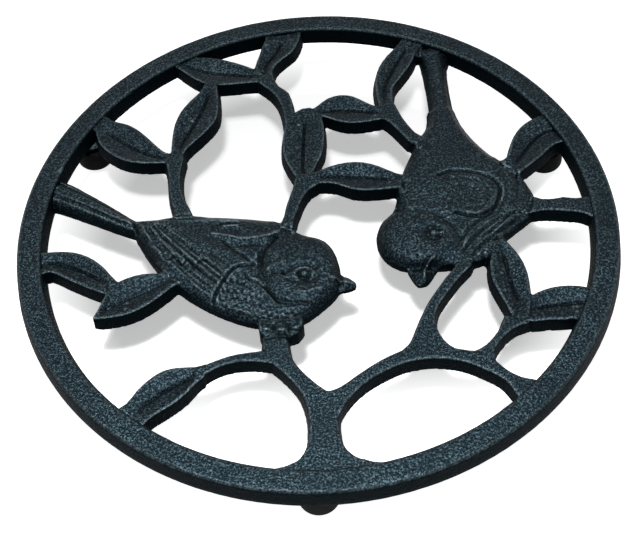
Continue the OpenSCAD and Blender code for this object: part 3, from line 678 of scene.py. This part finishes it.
# note, depth (mm, down is minus), half width (mm), line seen from above (mm)
cutLines = [
    ("head and breast", -0.6, 0.75, [(-13, -3.8), (-15, -6.3), (-17, -9.3), (-19, -13.3), (-19.3, -17.5)]),
    ("head and breast", -0.38, 0.8, [(-19.3, -17.5), (-18.4, -22.3), (-16.8, -26.5), (-14.2, -30.2), (-10, -31.8),
     (-5.5, -32.5), (-2.5, -32.9)]),
    ("hollow behind the head", -0.55, 1.6, [(-13, -3.8), (-16, -7), (-19, -12), (-19.5, -16.5), (-18.5, -21),
     (-17, -25.5)]),
    ("shoulder swell", 0.35, 1.6, [(-30, -9.5), (-27.5, -11.8), (-25.5, -13.6)]),
    ("belly swell", 0.3, 1.6, [(-33, -29.2), (-28, -32), (-22, -34.4)]),
    ("fold of the neck", -0.62, 0.5, [(-24.5, -18.9), (-23, -21.6), (-20, -23.2), (-18, -25.3), (-15.5, -28.8),
     (-13.5, -31.7)]),
    ("throat", -0.3, 1, [(-14, -30.9), (-9, -32.1), (-3, -32.7)]),
    ("over the eye", -0.7, 1.0, [(-12.6, -21.2), (-10.2, -19.3), (-7.6, -17.9), (-4.6, -17.6), (-1.8, -18.8),
     (-0.2, -20.4)]),
    ("under the eye", -0.55, 1.0, [(-11.6, -21.6), (-9.4, -23.2), (-6.6, -24.1), (-3.6, -24), (-1, -22.6),
     (0.2, -21)]),
    ("eye", 0.5, 0.8, [(-5.2, -21.2), (-4.8, -21.2)]),
    ("behind the eye", -0.5, 0.7, [(-16, -20.6), (-13.4, -19.8), (-10.6, -20.3)]),
    ("brow", 0.62, 0.7, [(-17.8, -19.1), (-15, -17.3), (-12.3, -16.2), (-10.3, -15.7)]),
    ("cheek", 0.46, 0.9, [(1.2, -27.1), (-2, -27.7), (-5, -28.5), (-8.5, -27.7)]),
    ("beak ridge", 0.62, 0.6, [(3.2, -23.1), (6, -23.8), (8.8, -24.7)]),
    ("mouth", -0.4, 0.5, [(1.8, -23.9), (4.2, -25.5), (6.5, -26.3)]),
    ("wing front", -0.75, 0.6, [(-20.5, -15.8), (-24, -16.1), (-27, -16.7), (-29.5, -18.9), (-31.5, -21.9),
     (-33.5, -25.8), (-35.3, -29.8)]),
    ("shoulder feathers", -0.5, 0.6, [(-31.5, -4.5), (-28.5, -8.3), (-24.5, -12.3), (-22, -14.8), (-20.5, -15.9)]),
    ("second shoulder row", -0.35, 0.5, [(-35.5, -9.3), (-32.8, -12.6), (-30, -15.6), (-28.8, -17.3)]),
    ("shoulder hollow", -0.6, 0.9, [(-30, -6.9), (-26, -7.4), (-21.5, -7.3), (-17, -7.6)]),
    ("shoulder tip", 0.54, 0.5, [(-20.6, -10.3), (-20.4, -12.1), (-20.2, -13.9)]),
    ("back edge", 0.46, 0.7, [(-52, 4.9), (-44, 4.8), (-38, 4.4), (-31, 3.9), (-25, 3.4)]),
    ("back hollow", -0.62, 0.5, [(-34, 2), (-30, 2.5), (-25.3, 2.3)]),
    ("back ridge", 0.6, 0.7, [(-32, 1.1), (-28.5, 1.1), (-25.3, 1.3)]),
    ("shoulder ridge", 0.62, 0.9, [(-36, -1.6), (-30, -3.1), (-24.5, -4.8), (-19, -4.4), (-16, -3.9),
     (-11.5, -2.1)]),
    ("covert tips", -0.45, 0.5, [(-51.5, -8.8), (-49.5, -11.6), (-47, -10.5), (-45, -14.1), (-42.5, -12.3),
     (-40.5, -15.3), (-38.3, -12.9), (-36, -13.9)]),
    ("covert swell", 0.22, 0.8, [(-51.2, -8.2), (-50, -9.2)]),
    ("covert swell", 0.22, 0.8, [(-47.6, -10.9), (-46.2, -12.3)]),
    ("covert swell", 0.22, 0.8, [(-45.2, -9.8), (-43.9, -10.9)]),
    ("covert swell", 0.22, 0.8, [(-43.9, -12.6), (-42.2, -13.9)]),
    ("covert swell", 0.22, 0.8, [(-40.2, -10.4), (-38.4, -12.2)]),
    ("tail root", -0.7, 0.6, [(-61.8, 7.5), (-61.2, 4.2), (-59.6, 0.2)]),
    ("toe", 0.6, 1.2, [(-18, -42.6), (-17.6, -41.2)]),
    ("toe", 0.6, 1.2, [(-13.2, -43.4), (-13, -41.6)]),
    ("toe", 0.6, 1.1, [(-8.4, -42.8), (-8.6, -41.2)]),
    ("gap of the toes", -0.6, 0.6, [(-15.7, -39.5), (-15.6, -41.8), (-15.2, -44.3)]),
    ("gap of the toes", -0.6, 0.6, [(-10.9, -39.5), (-10.8, -41.8), (-10.3, -44.3)]),
    ("under the toes", -0.5, 0.8, [(-19.6, -45.5), (-16, -44.6), (-12, -44.8), (-9.6, -46.1)]),
    ("wing outline", -0.85, 0.7, [(42, 16.5), (46.5, 17.9), (51, 17.7), (56, 16.3), (60.5, 14), (62.8, 10.2),
     (62.3, 5.7), (60.5, 1.7), (57.5, -0.9), (54, -2.3), (50, -1.6), (46, 0.1)]),
    ("wing inner row", -0.32, 0.6, [(46, 14.3), (51, 14.1), (55.5, 12.7), (58.6, 9.7), (58.8, 5.7), (57, 2.3),
     (54, 0.9), (50.5, 1.1)]),
    ("wing inner row", -0.32, 0.6, [(48, 11.1), (52, 10.6), (54.8, 8.3), (54.6, 5.3), (52, 3.7)]),
    ("side feathers", -0.42, 0.7, [(63.6, 23.7), (65, 17.7), (65.3, 11.2), (64.5, 5.7), (61.5, 0.7)]),
    ("side feathers", -0.42, 0.7, [(69.3, 15.7), (69.6, 9.7), (68.2, 5.2), (65.4, 1.7)]),
    ("flank strand", -0.55, 0.65, [(63, -2.3), (56, -6.9), (50.5, -12), (47, -16.5)]),
    ("flank strand", -0.55, 0.65, [(66.5, -4.3), (59, -9.5), (53, -14.8), (50.3, -18.5)]),
    ("flank strand", -0.55, 0.65, [(60, -0.5), (53.5, -4.5), (49.2, -8.7), (47.4, -11.9)]),
    ("flank strand", -0.55, 0.65, [(70, -1.3), (66, -1.5), (61.5, -4.8), (56, -9.9)]),
    ("head edge", -0.6, 1.0, [(26, 5.3), (31, 2.6), (35.5, 2), (39.5, 0.3), (42.8, -2.8), (45.4, -6.3),
     (47, -10.3), (46.2, -15.3)]),
    ("beak ridge", 0.78, 0.5, [(37.3, -17.9), (35.2, -20.2), (34, -22.3), (33.5, -25.9)]),
    ("eye", 0.5, 0.8, [(38.4, -8.3), (38.8, -8.3)]),
    ("nostril", -0.7, 0.4, [(31.8, -15.9), (32.4, -18.3)]),
    ("mouth", -0.4, 0.5, [(37.4, -16.9), (35, -18.7), (33.2, -21.1)]),
]
# feathers side by side between two edge lines: note, depth, half width, how many, first edge, second edge
featherFans = [
    ("long wing feathers", -0.52, 0.52, 6, [(-59, 3.2), (-56.5, -3.3), (-53.3, -9), (-50, -13.6), (-46.3, -18.5),
     (-42, -23.3), (-37.2, -27.9)], [(-51, 3.7), (-46.5, -0.3), (-42, -4.3), (-38, -8.6), (-34.4, -12.3),
     (-31.2, -15.7), (-29.4, -17.9)]),
    ("tail feathers", -0.5, 0.55, 3, [(-60, 2.2), (-67, 5.5), (-79, 12), (-92, 18.7)], [(-59, 7.5), (-66, 12.3),
     (-78, 21.9), (-89.5, 30.2)]),
]
# moats round the eyes: middle, radius, depth and half width
eyeMoats = [((-5.0, -21.2), 1.8, -0.88, 0.7), ((38.6, -8.3), 2.2, -0.95, 1.05)]
# rows of small round breast feathers: the row's line and how many
breastRows = [
    ([(-30.6, -21.7), (-25.5, -21.9), (-21, -25.5)], 5),
    ([(-32, -24.6), (-25.5, -25.1), (-19, -29.3)], 6),
    ([(-33, -27.3), (-26, -28.1), (-17.5, -32.3)], 7),
    ([(-32, -30.1), (-25, -31.3), (-16, -34.7)], 7),
    ([(-14.4, -33.5), (-11, -34.3), (-7.5, -34.7)], 3),
    ([(-17, -36.1), (-13, -36.7), (-9, -36.7)], 3),
]
midribs = [    # one for each leaf
    [(-39.9, -56.4), (-44.3, -58.3), (-48.8, -60.4), (-53, -63.2), (-56.3, -66)],
    [(-90.3, -9), (-86.2, -9.3), (-81.6, -11), (-77, -13.5), (-72.7, -16.6), (-69.4, -19.4)],
    [(-50.4, -20.2), (-55.8, -22.8), (-61, -25), (-65.8, -27.1), (-69.8, -29.6)],
    [(-51.5, 33.6), (-55.9, 35.6), (-60.2, 38.2), (-64.5, 41.4), (-68.6, 44.8), (-72, 47.8)],
    [(-46.5, 36.9), (-44.3, 42.3), (-41.8, 47.6), (-39.4, 53), (-37.3, 58.6), (-35.8, 63.5)],
    [(-18.8, 70.7), (-24.3, 72.2), (-29.9, 73.4), (-35.4, 74.8), (-40.3, 76.8), (-44.8, 79.4)],
    [(-15.7, 70.6), (-14.9, 75.1), (-12.6, 79.3), (-10.1, 83.3), (-8.2, 87.8)],
    [(-3.1, 21.1), (-3.3, 25.8), (-2.9, 30.8), (-2.5, 36.2), (-2, 41.7), (-1.5, 46.7)],
    [(4.3, 50.4), (8.3, 51), (12.8, 50.9), (17.3, 50.2), (21.6, 49), (25.5, 48)],
    [(28, 53.4), (28, 59.2), (29.8, 64.5), (32.3, 69.7), (35, 74.4), (38.4, 79.6)],
    [(2, 19.6), (7.2, 20.1), (12.5, 19.3), (17.7, 18.6), (22.8, 17.5), (27.2, 16.1)],
    [(69.6, 19.5), (72.3, 23.2), (75.1, 27), (78.4, 30.7), (82.3, 33.3), (86.5, 34.2)],
    [(62.2, -37.9), (61.5, -33), (60.9, -28), (60.5, -23), (60.1, -18.3)],
    [(66, -40.8), (70.9, -39.7), (75.9, -39.4), (80.4, -39.3), (84.7, -39.4)],
]
relief = {"midribDepth": -0.4, "midribWidth": 0.5, "sample": 0.2, "fineSample": 0.1,        # mm
          "scaleDepth": -0.38, "scaleWidth": 0.38, "scaleRadius": 1.25, "scaleShift": 0.4,    # mm
          "scaleFrom": 130, "scaleTo": 340, "scaleTurn": 12, "arcStep": 10,                   # degrees
          "fanPoints": 160, "fanShift": 0.25, "fanRhythm": 2.3,
          "reach": 3.0, "fadeIn": 1.2, "fadeShare": 2.5, "endWeight": 0.15, "facing": 0.3,
          "lowest": 13.5, "highest": 16.97}                                                   # mm


def flowing(line, step):
    # points at even steps on a smooth curve through the line's own points
    pts = [Vector((x, y, 0)) for x, y in line]
    ends = [pts[0] * 2 - pts[1]] + pts + [pts[-1] * 2 - pts[-2]]
    fine = []
    for k in range(len(pts) - 1):
        a, b, c, d = ends[k:k + 4]
        n = max(2, int((c - b).length / step))
        for t in (j / n for j in range(n)):
            square, cube = 2 * a - 5 * b + 4 * c - d, 3 * b - a - 3 * c + d
            fine.append((2 * b + (c - a) * t + square * t * t + cube * t ** 3) / 2)
    return fine + [pts[-1]]


def partWay(points, i, n):
    return points[int(i * (len(points) - 1) / n)]


def arc(centre, radius, start, end):
    turns = [math.radians(angle) for angle in range(start, end, relief["arcStep"])]
    return [centre + Vector((math.cos(a), math.sin(a), 0)) * radius for a in turns]


def strokeList():
    r = relief
    strokes = [(depth, width, flowing(line, r["sample"])) for note, depth, width, line in cutLines]
    for note, depth, width, count, first, second in featherFans:
        a, b, n = flowing(first, r["fineSample"]), flowing(second, r["fineSample"]), r["fanPoints"]
        for k in range(1, count):
            # no two feathers of one width
            share = (k + r["fanShift"] * math.sin(r["fanRhythm"] * k + count)) / count
            points = [partWay(a, i, n).lerp(partWay(b, i, n), share) for i in range(n + 1)]
            strokes.append((depth, width, points))
    for number, (line, count) in enumerate(breastRows):
        row = flowing(line, r["fineSample"])
        for k in range(count):
            shift = Vector((math.sin(5 * k + number), math.cos(7 * k + 2 * number), 0)) * r["scaleShift"]
            start = r["scaleFrom"] + r["scaleTurn"] * (number % 2)
            scale = arc(partWay(row, k + 0.5, count) + shift, r["scaleRadius"], start, r["scaleTo"])
            strokes.append((r["scaleDepth"], r["scaleWidth"], scale))
    for (x, y), radius, depth, width in eyeMoats:
        strokes.append((depth, width, arc(Vector((x, y, 0)), radius, 0, 360 + r["arcStep"])))
    for line in midribs:
        strokes.append((r["midribDepth"], r["midribWidth"], flowing(line, r["sample"])))
    return strokes


def reliefLines():
    # the points of all strokes in one tree, each with its stroke and a weight that fades towards the stroke's ends
    strokes = strokeList()
    owner, weight, spots = [], [], []
    for index, (depth, width, points) in enumerate(strokes):
        gone, length = 0, sum((b - a).length for a, b in zip(points, points[1:]))
        for k, point in enumerate(points):
            gone += (point - points[k - 1]).length if k else 0
            nearEnd = min(gone, length - gone) / min(relief["fadeIn"], length / relief["fadeShare"])
            spots.append(point)
            owner.append(index)
            weight.append(relief["endWeight"] + (1 - relief["endWeight"]) * min(1, nearEnd))
    print("relief", len(strokes), "strokes")
    return strokes, owner, weight, flatTree(spots)


def liftAt(lines, x, y):
    # each stroke counts once, at its nearest point
    strokes, owner, weight, tree = lines
    best = {}
    for place, k, gap in tree.find_range((x, y, 0), relief["reach"]):
        known = best.get(owner[k])
        if known is None or gap < known[0]:
            best[owner[k]] = (gap, weight[k])
    return sum(strokes[index][0] * share * math.exp(-(gap / strokes[index][1]) ** 2)
               for index, (gap, share) in best.items())


def carve(bm, lines):
    bm.normal_update()
    for v in bm.verts:
        facing = min(1, max(0, (v.normal.z - relief["facing"]) / relief["facing"]))
        if facing and v.co.z > relief["lowest"] * mm:
            lift = liftAt(lines, v.co.x / mm, v.co.y / mm) * facing
            v.co.z = min(relief["highest"] * mm, v.co.z + lift * mm)


# rubber caps and their pegs

feet = {
    "pegRadius": 4.6, "pegTop": 10.7, "pegBevel": 0.3, "pegBevelRise": 0.4, "pegPlay": 0.02, "pegFlare": 0.5,
    "capTop": 8.7, "capRadius": 6.6, "capFloor": 2.6, "capRound": 2.4, "capRoundSteps": 8, "capTaper": 0.5,
    "waist": 5.2, "waistTaper": 0.35, "lipRound": 0.45, "lipSteps": 4, "mouthRound": 0.25, "mouthSteps": 2,   # mm
    "steps": 72, "places": {"front": (-93, 93.0), "right": (21.5, 89.1), "left": (148, 93.0)},   # angle, radius
}


def makeFeet():
    f = feet
    low, lip, mouth, shaft = f["capFloor"], f["lipRound"], f["mouthRound"], f["pegRadius"] - f["pegPlay"]
    cap = [(0, 0)] + roundCorner(f["capRadius"] - f["capRound"], f["capRound"], f["capRound"],
                                 -90, 0, f["capRoundSteps"])
    cap += [(f["capRadius"] - f["capTaper"] * f["waistTaper"], f["waist"])]
    cap += roundCorner(f["capRadius"] - f["capTaper"] - lip, f["capTop"] - lip, lip, 10, 90, f["lipSteps"])
    cap += roundCorner(f["pegRadius"] + mouth, f["capTop"] - mouth, mouth, 90, 180, f["mouthSteps"])
    cap += [(f["pegRadius"], low), (0, low)]
    peg = [(0, low), (f["pegRadius"] - f["pegBevel"], low), (shaft, low + f["pegBevelRise"]),
           (shaft, f["pegTop"] - f["pegFlare"]), (f["pegRadius"], f["pegTop"]), (0, f["pegTop"])]
    for name, (angle, radius) in f["places"].items():
        at = (radius * math.cos(math.radians(angle)), radius * math.sin(math.radians(angle)))
        finishPiece(turned(cap, f["steps"], at), name + "RubberCap", rubber, [name + "_cap"])
        finishPiece(turned(peg, f["steps"], at), name + "Peg", iron, [name + "_peg"])


makeRim()
lines = reliefLines()
for partName, part in partLattice(birdWalls()).items():
    unevenCast(part, skin["waves"], skin["waveSize"])
    carve(part, lines)
    finishPiece(part, partName, iron, latticePieces[partName])
makeFeet()
